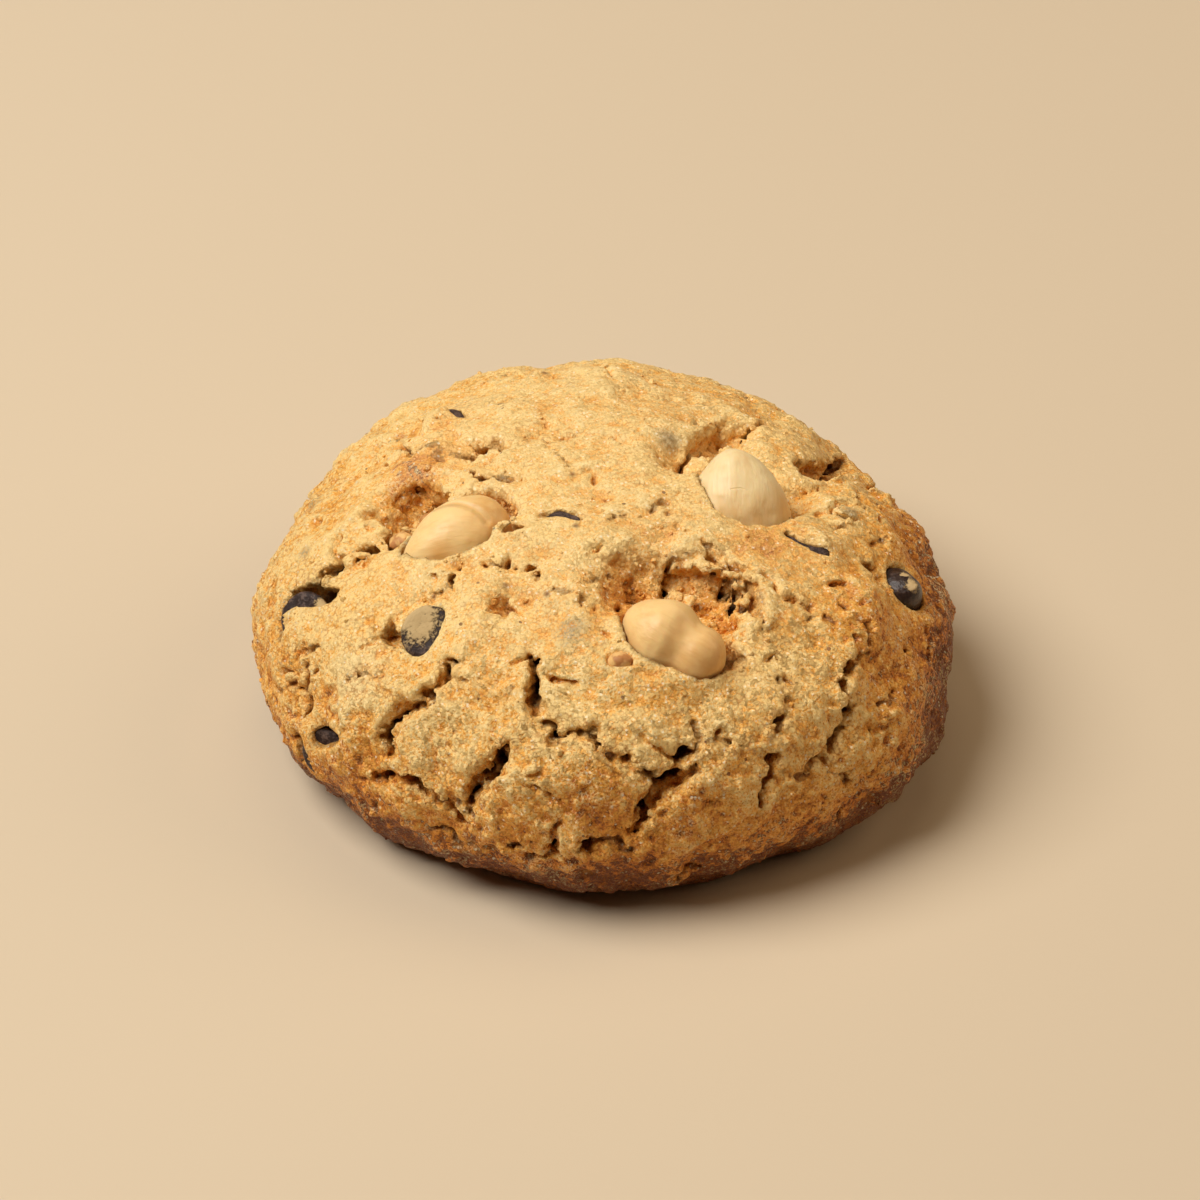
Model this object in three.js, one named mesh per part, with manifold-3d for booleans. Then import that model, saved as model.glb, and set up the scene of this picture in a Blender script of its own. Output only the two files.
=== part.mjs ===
// A thick home-style cookie with three hazelnut kernels and chocolate chips baked into it.
// Millimetres, Z up, X to the right of the front view, Y away from it. The cookie rests on Z = 0.

import * as THREE from "three";
import { mergeVertices } from "three/addons/utils/BufferGeometryUtils.js";
import Module from "manifold-3d";

const wasm = await Module();
wasm.setup();

// The cookie as a globe: bearing runs round from +X, and the front is at -90 degrees.
// Latitude is 90 at the crown, 0 at the girth and negative where the side tucks under.
const COOKIE_HEIGHT = 36;
const GIRTH_HEIGHT = 12;
const UNDER_DEPTH = 16;
const CROWN_FULLNESS = 2.35;
const UNDER_FULLNESS = 5;
const GIRTH_RADII = [43, 41.8, 43, 43.3, 44, 43, 42.9, 42.2, 42.2, 43.2, 43.5, 44.2];
const GLOBE_DETAIL = 13;

// Baking leaves soft lumps all over the dough.
const LUMP_COUNT = 30;
const LUMP_HEIGHT = 0.1;
const LUMP_LENGTH = [7, 16];
const LUMP_SEED = 11;

// Mounds and hollows of the dough: middle as bearing and latitude, height and reach.
const MOUNDS = {
  "hollow behind the front nut": { at: [-72, 64], height: -3.2, reach: 6.5 },
  "hollow right of the front nut": { at: [-62, 54], height: -1.6, reach: 4.5 },
  "hollow behind the back nut": { at: [8, 70], height: -3.4, reach: 7.5 },
  "valley right of the back nut": { at: [-10, 62], height: -1.8, reach: 6 },
  "hollow behind the left nut": { at: [-168, 61], height: -2.4, reach: 6.5 },
  "hollow of the right chip": { at: [-13, 32], height: -1.6, reach: 4.5 },
  "hollow of the left front chip": { at: [-133, 43], height: -1.2, reach: 4.5 },
  "front bulge": { at: [-100, 26], height: 0.8, reach: 9 },
  "left front bulge": { at: [-130, 30], height: 0.6, reach: 8 },
  "low right corner": { at: [-40, -20], height: 1, reach: 8 },
  "straight low edge": { at: [-62, -22], height: -0.9, reach: 9 },
  "fall of the right shoulder": { at: [20, 36], height: -1.6, reach: 14 },
  "fall of the far right shoulder": { at: [54, 48], height: -1.3, reach: 13 },
  "fall of the left shoulder": { at: [160, 34], height: -1.3, reach: 16 },
};

// A fold of dough stands up in front of the back hazelnut.
const FOLD = { from: [-14, 84], to: [-19, 53], height: 1.3, reach: 3.2 };

// Cracks that opened while baking: width and depth where widest, and the line each one follows.
const CRACKS = {
  "left fissure": { width: 2.4, depth: 3.6, line: [[-164, 24], [-163, 38], [-162, 50], [-167, 57]] },
  "behind left nut": { width: 2.6, depth: 3, line: [[-165, 54], [-178, 60], [-172, 65]] },
  "back left": { width: 1.9, depth: 3, line: [[159, 55], [164, 63], [170, 70], [144, 78], [134, 81]] },
  "crown left": { width: 1.3, depth: 2.2, line: [[-160, 71], [-174, 75], [-164, 79]] },
  "before left nut": { width: 1.1, depth: 1.8, line: [[-134, 57], [-138, 47]] },
  "above front nut": { width: 2.1, depth: 4, line: [[-68, 69], [-54, 68], [-47, 61], [-50, 55]] },
  "left of front nut": { width: 1.6, depth: 3, line: [[-68, 68], [-71, 60]] },
  "right of front nut": { width: 1.5, depth: 3, line: [[-45, 58], [-53, 48]] },
  "right long": { width: 1.6, depth: 3, line: [[-31, 50], [-33, 36], [-45, 27], [-51, 12]] },
  "right front": { width: 1.3, depth: 2.6, line: [[-56, 32], [-59, 23], [-64, 4]] },
  "middle front": { width: 1.3, depth: 2.2, line: [[-71, 33], [-77, 22]] },
  "front fissure": { width: 3.2, depth: 5, line: [[-73, 23], [-81, 17], [-84, 7], [-84, 0]] },
  "front arm": { width: 1.6, depth: 2.8, line: [[-93, 32], [-87, 26], [-79, 19]] },
  "low left fissure": { width: 3, depth: 4.6, line: [[-105, 26], [-110, 16], [-112, 4]] },
  "low left long": { width: 2, depth: 3.2, line: [[-111, 6], [-126, 6], [-142, 9]] },
  "left front fissure": { width: 2.6, depth: 4.2, line: [[-128, 9], [-128, 23], [-123, 32], [-120, 44]] },
  "centre fissure": { width: 2.5, depth: 4.2, line: [[-97, 29], [-103, 36], [-104, 47]] },
  "link of two": { width: 1.2, depth: 2.2, line: [[-123, 37], [-113, 40], [-103, 40]] },
  "left edge": { width: 1.5, depth: 2.6, line: [[-151, 23], [-148, 10], [-141, 5]] },
  "low front": { width: 1.2, depth: 2.2, line: [[-103, 3], [-101, -4], [-91, 0], [-83, 0]] },
  "right notch": { width: 1.9, depth: 3, line: [[25, 40], [12, 48], [6, 60]] },
  "behind back nut": { width: 2.2, depth: 3.4, line: [[2, 79], [24, 74], [34, 58]] },
  "far side left": { width: 1.9, depth: 3.2, line: [[118, 4], [112, 20], [117, 36]] },
  "far side middle": { width: 2.4, depth: 3.8, line: [[77, 2], [71, 18], [82, 34], [78, 46]] },
  "far side right": { width: 1.7, depth: 3, line: [[40, 3], [47, 20], [43, 32]] },
  "far side arm": { width: 1.4, depth: 2.4, line: [[70, 19], [58, 24], [46, 21]] },
  "far side edge": { width: 1.7, depth: 3, line: [[153, 5], [148, 18], [156, 32]] },
};
const CRACK_STEP = 2.4;
const CRACK_RISE = 1.4;
const CRACK_WANDER = 0.45;
const CRACK_END = 0.2;
const CRACK_TAPER = 0.6;
const CRACK_STEPS_LEAST = 4;
const CRACK_SEED = 5;
const CRACK_SOURCE = new THREE.Vector3(0, 0, GIRTH_HEIGHT - UNDER_DEPTH);

// Small pits where a crumb fell out: place and radius.
const PITS = [
  { at: [-116, 64], radius: 1.1 },
  { at: [-10, 51], radius: 0.9 },
  { at: [1, 45], radius: 0.8 },
  { at: [-8, 42], radius: 0.8 },
  { at: [-136, 40], radius: 1.4 },
  { at: [-141, 66], radius: 1.3 },
];

// Hazelnut kernels: place, depth of the middle below the skin, and the way the tip points.
// A kernel is one egg, or two halves that have come apart at the seam, each shifted right, away and up.
const KERNELS = [
  {
    name: "hazelnut_left", at: [-151, 65], sink: 1.7, tip: [-0.86, -0.42, -0.3],
    halves: [
      { length: 13.6, width: 9.8, shift: [0, 0, 0] },
      { length: 9, width: 9, shift: [2.1, 1.3, 0.5] },
    ],
  },
  {
    name: "hazelnut_back", at: [-9, 70], sink: 0.8, tip: [-0.06, 0.34, 0.94],
    halves: [{ length: 14.6, width: 13.2, shift: [0, 0, 0] }],
  },
  {
    name: "hazelnut_front", at: [-75, 54], sink: 0.5, tip: [-0.75, 0.45, 0.3],
    halves: [
      { length: 9.2, width: 9.5, shift: [0, 0, 0] },
      { length: 7.6, width: 7.8, shift: [3.8, -1.9, -1.3] },
    ],
  },
];
const KERNEL_SIDES = 16;
const KERNEL_RINGS = 10;
const KERNEL_TIP = 0.16;
const KERNEL_TIP_SHARPNESS = 6;
const KERNEL_TAPER = 0.1;

// Chocolate chips: place, depth of the flat base's middle below the skin, and the way the base faces.
const CHIP_RADIUS = 3.5;
const CHIP_HEIGHT = 4.6;
const CHIP_EDGE = 0.7;
const CHIP_WAIST = { radius: 0.55, depth: 0.8 };
const CHIP_CURVE_STEPS = 2;
const CHIP_SIDES = 14;
const CHIPS = [
  { name: "chip_left", at: [-160, 27], sink: 0.5, faces: [-0.5, -0.6, 0.62] },
  { name: "chip_left_front", at: [-131, 45], sink: -0.7, faces: [-0.2, -0.62, 0.76] },
  { name: "chip_right", at: [-12, 30], sink: 1.3, faces: [-0.55, 0.5, -0.65] },
  { name: "chip_low_left", at: [-143, -2], sink: 0.8, faces: [-0.55, -0.8, 0.25] },
  { name: "chip_back_left", at: [165, 64], sink: 1.4, faces: [-0.1, -0.65, 0.75] },
  { name: "chip_back_rim", at: [145, 62], sink: 1.1, faces: [0.2, -0.3, 0.93] },
  { name: "chip_crown_rim", at: [-110, 76], sink: 1.1, faces: [0, -0.42, 0.9] },
  { name: "chip_fold_rim", at: [-24, 57], sink: 0.9, faces: [-0.05, -0.3, 0.95] },
];

// Chopped nut: place, depth below the skin, length, and a seed for the broken faces.
const BITS = [
  { name: "nut_bit_left", at: [-163, 56], sink: 0.6, length: 3.6, seed: 3 },
  { name: "nut_bit_behind", at: [-170, 63], sink: 0.5, length: 3.6, seed: 8 },
  { name: "nut_bit_front", at: [-86, 48], sink: 0.5, length: 3.4, seed: 21 },
];
const BIT_UNEVEN = 0.22;
const BIT_SHAPE = new THREE.Vector3(1, 0.8, 0.75);

// Space kept between the dough and what is baked into it.
const GAP = 0.3;

const DOUGH_FINISH = { color: 0xdca763, roughness: 0.92, metalness: 0 };
const KERNEL_FINISH = { color: 0xe6c48f, roughness: 0.5, metalness: 0 };
const CHIP_FINISH = { color: 0x2b1d20, roughness: 0.35, metalness: 0 };
const BIT_FINISH = { color: 0xc08a52, roughness: 0.7, metalness: 0 };

const radians = THREE.MathUtils.degToRad;

// Girth radius on a bearing in radians, eased from one driving radius to the next.
function girthRadius(bearing) {
  const count = GIRTH_RADII.length;
  const place = THREE.MathUtils.euclideanModulo((bearing / (2 * Math.PI)) * count, count);
  const before = Math.floor(place) % count;
  const share = THREE.MathUtils.smoothstep(place - Math.floor(place), 0, 1);
  return THREE.MathUtils.lerp(GIRTH_RADII[before], GIRTH_RADII[(before + 1) % count], share);
}

// The smooth body of the cookie, before any relief. Angles in radians.
function smoothSkin(bearing, latitude) {
  const above = latitude >= 0;
  const fullness = above ? CROWN_FULLNESS : UNDER_FULLNESS;
  const rise = above ? COOKIE_HEIGHT - GIRTH_HEIGHT : UNDER_DEPTH;
  const reach = girthRadius(bearing) * Math.max(Math.cos(latitude), 0) ** (2 / fullness);
  return new THREE.Vector3(
    reach * Math.cos(bearing),
    reach * Math.sin(bearing),
    GIRTH_HEIGHT + rise * Math.sin(latitude),
  );
}

// Outward direction of the smooth body.
function skinNormal(bearing, latitude) {
  const small = 0.01;
  const tilt = THREE.MathUtils.clamp(latitude, 2 * small - Math.PI / 2, Math.PI / 2 - 2 * small);
  const along = smoothSkin(bearing + small, tilt).sub(smoothSkin(bearing - small, tilt));
  const up = smoothSkin(bearing, tilt + small).sub(smoothSkin(bearing, tilt - small));
  return along.cross(up).normalize();
}

// Seeded plane waves that add up to soft lumps.
function makeLumps() {
  THREE.MathUtils.seededRandom(LUMP_SEED);
  const random = THREE.MathUtils.seededRandom;
  const waves = Array.from({ length: LUMP_COUNT }, () => {
    const way = new THREE.Vector3(random() - 0.5, random() - 0.5, random() - 0.5).normalize();
    const length = THREE.MathUtils.lerp(LUMP_LENGTH[0], LUMP_LENGTH[1], random());
    return { way: way.multiplyScalar((2 * Math.PI) / length), phase: 2 * Math.PI * random() };
  });
  const swell = (wave, point) => LUMP_HEIGHT * Math.sin(wave.way.dot(point) + wave.phase);
  return (point) => waves.reduce((sum, wave) => sum + swell(wave, point), 0);
}

const lumps = makeLumps();
const smoothAt = ([bearing, latitude]) => smoothSkin(radians(bearing), radians(latitude));
const normalAt = ([bearing, latitude]) => skinNormal(radians(bearing), radians(latitude));
const mounds = Object.values(MOUNDS).map((mound) => ({ ...mound, middle: smoothAt(mound.at) }));
const fold = new THREE.Line3(smoothAt(FOLD.from), smoothAt(FOLD.to));

// Height of the relief over the smooth body at one of its points.
function relief(point) {
  const hill = (distance, height, reach) => height * Math.exp(-((distance / reach) ** 2));
  const nearest = fold.closestPointToPoint(point, true, new THREE.Vector3());
  return mounds.reduce(
    (sum, mound) => sum + hill(point.distanceTo(mound.middle), mound.height, mound.reach),
    lumps(point) + hill(point.distanceTo(nearest), FOLD.height, FOLD.reach),
  );
}

// A point of the finished dough surface, or below it, from bearing and latitude in degrees.
function surfacePoint(place, depth = 0) {
  const point = smoothAt(place);
  return point.addScaledVector(normalAt(place), relief(point) - depth);
}

// Moves every vertex of a geometry by a rule and keeps only the positions, welded together.
function reshape(geometry, rule) {
  geometry.deleteAttribute("normal");
  geometry.deleteAttribute("uv");
  const welded = mergeVertices(geometry);
  const position = welded.attributes.position;
  const vertex = new THREE.Vector3();
  for (let i = 0; i < position.count; i += 1) {
    const moved = rule(vertex.fromBufferAttribute(position, i));
    position.setXYZ(i, moved.x, moved.y, moved.z);
  }
  return welded;
}

// Closed geometry to a solid for cutting, and back.
function toSolid(geometry) {
  return new wasm.Manifold(
    new wasm.Mesh({
      numProp: 3,
      vertProperties: new Float32Array(geometry.attributes.position.array),
      triVerts: new Uint32Array(geometry.index.array),
    }),
  );
}

function toGeometry(solid) {
  const mesh = solid.getMesh();
  const geometry = new THREE.BufferGeometry();
  geometry.setAttribute("position", new THREE.BufferAttribute(new Float32Array(mesh.vertProperties), 3));
  geometry.setIndex(new THREE.BufferAttribute(new Uint32Array(mesh.triVerts), 1));
  geometry.computeVertexNormals();
  return geometry;
}

const unite = (solids) => solids.reduce((whole, solid) => whole.add(solid));

// The whole body of dough, flat below where it lay on the baking sheet.
function doughBody() {
  const globe = reshape(new THREE.IcosahedronGeometry(1, GLOBE_DETAIL), (vertex) => {
    const latitude = Math.asin(THREE.MathUtils.clamp(vertex.z, -1, 1));
    const bearing = Math.atan2(vertex.y, vertex.x);
    const point = smoothSkin(bearing, latitude);
    return point.addScaledVector(skinNormal(bearing, latitude), relief(point));
  });
  const side = 4 * Math.max(...GIRTH_RADII);
  const below = new THREE.BoxGeometry(side, side, side).translate(0, 0, -side / 2);
  return toSolid(globe).subtract(toSolid(reshape(below, (vertex) => vertex)));
}

// A wedge along a crack's line: three sides, the sharp one down in the dough.
function crackWedge({ width, depth, line }) {
  const random = THREE.MathUtils.seededRandom;
  const path = new THREE.CatmullRomCurve3(line.map((place) => surfacePoint(place)));
  const steps = Math.max(CRACK_STEPS_LEAST, Math.round(path.getLength() / CRACK_STEP));
  const wander = Array.from({ length: steps + 1 }, () => CRACK_WANDER * (2 * random() - 1));
  const corner = Math.sin(Math.PI / 3);
  const topZ = -Math.cos(Math.PI / 3);
  return reshape(new THREE.CylinderGeometry(1, 1, 1, 3, steps), (vertex) => {
    const step = Math.round((vertex.y + 0.5) * steps);
    const along = step / steps;
    const point = path.getPointAt(along);
    const tangent = path.getTangentAt(along);
    const outward = point.clone().sub(CRACK_SOURCE).normalize();
    const aside = outward.clone().cross(tangent).normalize();
    const taper = Math.max(CRACK_END, Math.sin(Math.PI * along) ** CRACK_TAPER);
    const bottom = depth * taper;
    const halfWidth = (width / 2) * taper * ((bottom + CRACK_RISE) / bottom);
    const down = (vertex.z - topZ) / (1 - topZ);
    return point
      .addScaledVector(aside, (vertex.x / corner) * halfWidth + wander[step])
      .addScaledVector(outward, CRACK_RISE - down * (CRACK_RISE + bottom));
  });
}

function pitBall({ at, radius }) {
  const middle = surfacePoint(at, radius / 3);
  return reshape(new THREE.IcosahedronGeometry(radius, 1), (vertex) => vertex.clone().add(middle));
}

// One kernel with its tip along +Z, grown all round by a margin.
function kernelEgg({ length, width }, margin) {
  const egg = new THREE.SphereGeometry(1, KERNEL_SIDES, KERNEL_RINGS).rotateX(Math.PI / 2);
  return reshape(egg, ({ x, y, z }) => {
    const girth = (width / 2 + margin) * (1 - KERNEL_TAPER * z);
    const reach = (length / 2 + margin) * (z + KERNEL_TIP * Math.max(z, 0) ** KERNEL_TIP_SHARPNESS);
    return new THREE.Vector3(x * girth, y * girth, reach);
  });
}

// Moves a piece made along +Z to its place in the dough, with +Z turned to a direction.
function placing(at, sink, direction, shift = [0, 0, 0]) {
  const turn = new THREE.Quaternion().setFromUnitVectors(
    new THREE.Vector3(0, 0, 1),
    new THREE.Vector3(...direction).normalize(),
  );
  const place = surfacePoint(at, sink).add(new THREE.Vector3(...shift));
  return new THREE.Matrix4().compose(place, turn, new THREE.Vector3(1, 1, 1));
}

function kernelSolid({ at, sink, tip, halves }, margin = 0) {
  const placed = (half) => kernelEgg(half, margin).applyMatrix4(placing(at, sink, tip, half.shift));
  return unite(halves.map((half) => toSolid(placed(half))));
}

// A chip is a low drop: flat base with a rounded edge towards +Z and a blunt tip below.
function chipSolid({ at, sink, faces }, margin = 0) {
  const radius = CHIP_RADIUS + margin;
  const base = new THREE.Path();
  base.moveTo(0, -CHIP_HEIGHT - margin);
  base.quadraticCurveTo(radius * CHIP_WAIST.radius, -CHIP_HEIGHT * CHIP_WAIST.depth, radius, -CHIP_EDGE);
  base.quadraticCurveTo(radius, margin, radius - CHIP_EDGE, margin);
  base.lineTo(0, margin);
  const drop = new THREE.LatheGeometry(base.getPoints(CHIP_CURVE_STEPS), CHIP_SIDES).rotateX(Math.PI / 2);
  return toSolid(reshape(drop, (vertex) => vertex).applyMatrix4(placing(at, sink, faces)));
}

// A broken piece of nut: a small ball with uneven faces.
function bitSolid({ at, sink, length, seed }, margin = 0) {
  THREE.MathUtils.seededRandom(seed);
  const random = THREE.MathUtils.seededRandom;
  const chunk = reshape(new THREE.IcosahedronGeometry(1, 1), (vertex) => {
    const size = length / 2 + margin;
    return vertex.clone().multiplyScalar(size * (1 - BIT_UNEVEN * random())).multiply(BIT_SHAPE);
  });
  return toSolid(chunk.applyMatrix4(placing(at, sink, normalAt(at).toArray())));
}

// The dough with its cracks, its pits and a socket round each thing baked into it.
function doughSolid() {
  THREE.MathUtils.seededRandom(CRACK_SEED);
  const cracks = Object.values(CRACKS).map((crack) => toSolid(crackWedge(crack)));
  const pits = PITS.map((pit) => toSolid(pitBall(pit)));
  const sockets = [
    ...KERNELS.map((kernel) => kernelSolid(kernel, GAP)),
    ...CHIPS.map((chip) => chipSolid(chip, GAP)),
    ...BITS.map((bit) => bitSolid(bit, GAP)),
  ];
  const cut = doughBody().subtract(unite([...cracks, ...pits, ...sockets]));
  return cut.decompose().reduce((largest, piece) => (piece.volume() > largest.volume() ? piece : largest));
}

function namedMesh(name, solid, finish) {
  const mesh = new THREE.Mesh(toGeometry(solid), new THREE.MeshStandardMaterial(finish));
  mesh.name = name;
  return mesh;
}

const cookie = new THREE.Group();
cookie.add(namedMesh("dough", doughSolid(), DOUGH_FINISH));
cookie.add(...KERNELS.map((kernel) => namedMesh(kernel.name, kernelSolid(kernel), KERNEL_FINISH)));
cookie.add(...CHIPS.map((chip) => namedMesh(chip.name, chipSolid(chip), CHIP_FINISH)));
cookie.add(...BITS.map((bit) => namedMesh(bit.name, bitSolid(bit), BIT_FINISH)));

// The origin is the middle of the base of the box round the cookie.
const middle = new THREE.Box3().setFromObject(cookie).getCenter(new THREE.Vector3());
cookie.position.set(-middle.x, -middle.y, 0);

export default cookie;
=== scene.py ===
# %% [markdown]
# A hazelnut cookie, step by step.
# The cookie is a thick, domed lump of dough that cracked while it baked. Three hazelnut kernels, some
# chocolate chips and a little chopped nut sit in it. The frame gives every piece as a plain faceted
# solid, at its real size. This lesson turns each solid into something that looks baked.

# %% Load the frame
from functools import reduce
from math import cos, radians, sin

import bmesh
import bpy
import numpy as np
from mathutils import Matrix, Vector
from mathutils.bvhtree import BVHTree


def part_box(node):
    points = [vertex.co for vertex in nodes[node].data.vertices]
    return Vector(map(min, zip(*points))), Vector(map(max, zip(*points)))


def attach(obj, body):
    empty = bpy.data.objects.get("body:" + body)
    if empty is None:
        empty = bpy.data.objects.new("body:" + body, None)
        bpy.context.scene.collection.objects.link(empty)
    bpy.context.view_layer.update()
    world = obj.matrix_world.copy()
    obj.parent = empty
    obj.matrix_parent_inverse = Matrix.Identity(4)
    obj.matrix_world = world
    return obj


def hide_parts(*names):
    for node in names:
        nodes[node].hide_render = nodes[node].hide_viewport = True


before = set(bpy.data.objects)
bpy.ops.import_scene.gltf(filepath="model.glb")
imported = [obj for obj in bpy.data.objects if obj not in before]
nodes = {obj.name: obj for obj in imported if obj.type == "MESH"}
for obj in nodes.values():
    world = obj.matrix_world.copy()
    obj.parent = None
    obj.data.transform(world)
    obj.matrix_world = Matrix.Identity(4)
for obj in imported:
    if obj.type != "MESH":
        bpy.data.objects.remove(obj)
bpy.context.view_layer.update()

MM = 0.001
print("nodes:", sorted(nodes))

# %% [markdown]
# Everything below is made of nodes, for shapes and for finishes alike. Clicking nodes together in an
# editor is fine for ten of them. For a hundred, it reads better to write the sums as sums. A Field is
# one output of a node. Adding or multiplying Fields adds Math nodes to the tree that they live in.

# %% Sums written as sums


def operator(operation, turned=False):
    """A method that adds one Math node, with the Field first, or second if turned."""
    def method(field, other):
        return field.recipe.math(operation, *((other, field) if turned else (field, other)))
    return method


class Field:
    """One output of a node. Arithmetic on it adds Math nodes to its tree."""

    def __init__(self, recipe, socket):
        self.recipe = recipe
        self.socket = socket

    def beside(self, name):
        """Another output of the same node."""
        return Field(self.recipe, self.socket.node.outputs[name])

    def __neg__(self):
        return self.recipe.math("MULTIPLY", self, -1.0)

    __add__ = operator("ADD")
    __radd__ = operator("ADD", turned=True)
    __sub__ = operator("SUBTRACT")
    __rsub__ = operator("SUBTRACT", turned=True)
    __mul__ = operator("MULTIPLY")
    __rmul__ = operator("MULTIPLY", turned=True)
    __truediv__ = operator("DIVIDE")
    __rtruediv__ = operator("DIVIDE", turned=True)
    __pow__ = operator("POWER")


class Recipe:
    """Adds nodes to one tree, of a material or of a shape."""

    def __init__(self, tree):
        self.tree = tree

    def node(self, kind, settings=None, sockets=None, output=0):
        """One node: its type, its settings, and the values or links of its sockets."""
        node = self.tree.nodes.new(kind)
        for name, value in (settings or {}).items():
            if name == "stops":
                set_stops(node.color_ramp, value)
            else:
                setattr(node, name, value)
        for name, value in (sockets or {}).items():
            if isinstance(value, Field):
                self.tree.links.new(value.socket, node.inputs[name])
            else:
                node.inputs[name].default_value = value
        return Field(self, node.outputs[output]) if len(node.outputs) else None

    def math(self, operation, *values):
        return self.node("ShaderNodeMath", {"operation": operation}, dict(enumerate(values)))

    def vector(self, operation, *values):
        """A vector sum. Lengths, distances and dot products come out as plain numbers."""
        output = "Value" if operation in ("DOT_PRODUCT", "LENGTH", "DISTANCE") else "Vector"
        return self.node("ShaderNodeVectorMath", {"operation": operation}, dict(enumerate(values)), output)

    def scaled(self, vector, factor):
        return self.node("ShaderNodeVectorMath", {"operation": "SCALE"}, {0: vector, "Scale": factor})

    def least(self, first, second):
        return self.math("MINIMUM", first, second)

    def most(self, first, second):
        return self.math("MAXIMUM", first, second)

    def step(self, value, low, high):
        """0 below low, 1 above high, and an eased rise between; a fall if low is the larger."""
        flip = low > high
        sockets = {0: value, 1: min(low, high), 2: max(low, high), 3: float(flip), 4: float(not flip)}
        return self.node("ShaderNodeMapRange", {"interpolation_type": "SMOOTHSTEP"}, sockets)

    def noise(self, place, size, detail=2.0, roughness=0.5, output="Fac"):
        """Cloudy noise, about 0 to 1, whose patches are about this size."""
        sockets = {"Vector": place, "Scale": 1.0 / size, "Detail": detail, "Roughness": roughness}
        return self.node("ShaderNodeTexNoise", {}, sockets, output)

    def cells(self, place, size, feature="F1", output="Distance"):
        """Cells of about this size. Distances are in cell sizes."""
        sockets = {"Vector": place, "Scale": 1.0 / size}
        return self.node("ShaderNodeTexVoronoi", {"feature": feature}, sockets, output)

    def apart(self, place):
        """The three parts of a vector."""
        x = self.node("ShaderNodeSeparateXYZ", {}, {0: place})
        return x, x.beside("Y"), x.beside("Z")

    def near(self, place, point, radius):
        """1 at a point, falling to 0 at this radius."""
        return self.step(self.vector("DISTANCE", place, tuple(point)), radius, 0.0)

    def to_path(self, place, points):
        """How far a place is from a path of straight stretches."""
        nearest = None
        for start, end in zip(points, points[1:]):
            stretch = end - start
            ahead = self.vector("SUBTRACT", place, tuple(start))
            share = self.vector("DOT_PRODUCT", ahead, tuple(stretch / stretch.length_squared))
            share = self.least(self.most(share, 0.0), 1.0)
            beside = self.vector("SUBTRACT", ahead, self.scaled(tuple(stretch), share))
            away = self.vector("LENGTH", beside)
            nearest = away if nearest is None else self.least(nearest, away)
        return nearest

    def blend(self, share, first, second):
        """Mixes two colours."""
        settings = {"data_type": "RGBA", "blend_type": "MIX"}
        return self.node("ShaderNodeMix", settings, {0: share, 6: first, 7: second}, output=2)


def set_stops(ramp, stops):
    """Gives a colour ramp its stops: pairs of place and colour."""
    while len(ramp.elements) < len(stops):
        ramp.elements.new(1.0)
    for element, (place, colour) in zip(ramp.elements, stops):
        element.position = place
        element.color = colour


def colour(red, green, blue):
    """A screen colour, 0 to 255, as the linear colour that a shader takes."""
    def linear(value):
        share = value / 255
        return share / 12.92 if share <= 0.04045 else ((share + 0.055) / 1.055) ** 2.4
    return linear(red), linear(green), linear(blue), 1.0


# %% [markdown]
# The camera stands where the photographer stood: in front, looking down at 37 degrees, through a long
# lens, so that the cookie keeps its shape with little perspective. Its distance and lens are worked out
# from the picture's scale, in pixels for each millimetre, and its focal length in pixels.

# %% Camera
PICTURE_SIDE = 1200
FOCAL_PIXELS = 5150.0
PIXELS_PER_MM = 7.84
TILT = radians(37)
AIM = Vector((-0.55, 20.73, 0.0)) * MM
SENSOR_MM = 36.0

distance = FOCAL_PIXELS / PIXELS_PER_MM * MM
camera_data = bpy.data.cameras.new("camera")
camera_data.sensor_width = SENSOR_MM
camera_data.lens = SENSOR_MM * FOCAL_PIXELS / PICTURE_SIDE
camera = bpy.data.objects.new("camera", camera_data)
camera.location = AIM + distance * Vector((0.0, -cos(TILT), sin(TILT)))
camera.rotation_euler = (radians(90) - TILT, 0.0, 0.0)
bpy.context.scene.collection.objects.link(camera)
bpy.context.scene.camera = camera
print(f"camera {distance:.3f} m away, lens {camera_data.lens:.1f} mm")

# %% [markdown]
# A large soft light stands high on the left. It gives the crumbs their small shadows and lays the
# cookie's own shadow to the right. Two weak, warm lights fill the shadows, one low on the right and one
# high behind, as light thrown back by a pale room does. The floor is a plain pale sheet.

# %% Light and floor
LIGHT_DISTANCE = 1.1
LIGHTS = {
    "key": {"round": 186, "up": 58, "width": 0.80, "watts": 13.0, "colour": (1.0, 0.96, 0.905)},
    "fill_right": {"round": 10, "up": 36, "width": 0.9, "watts": 3.3, "colour": (1.0, 0.74, 0.48)},
    "fill_behind": {"round": 85, "up": 65, "width": 0.7, "watts": 1.5, "colour": (1.0, 0.84, 0.62)},
}
GLOW = (1.0, 0.74, 0.48, 1.0)
GLOW_STRENGTH = 0.03
FLOOR_SIDE = 4.0
FLOOR_COLOUR = colour(217, 200, 174)


def add_light(name, facts):
    """A round soft light, some degrees round from +X and up from the floor, aimed at the cookie."""
    turn, lift = radians(facts["round"]), radians(facts["up"])
    way = Vector((cos(turn) * cos(lift), sin(turn) * cos(lift), sin(lift)))
    data = bpy.data.lights.new(name, "AREA")
    data.shape = "DISK"
    data.size = facts["width"]
    data.energy = facts["watts"]
    data.color = facts["colour"]
    light = bpy.data.objects.new(name, data)
    light.location = way * LIGHT_DISTANCE
    light.rotation_euler = way.to_track_quat("Z", "Y").to_euler()
    bpy.context.scene.collection.objects.link(light)


for name, facts in LIGHTS.items():
    add_light(name, facts)

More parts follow.
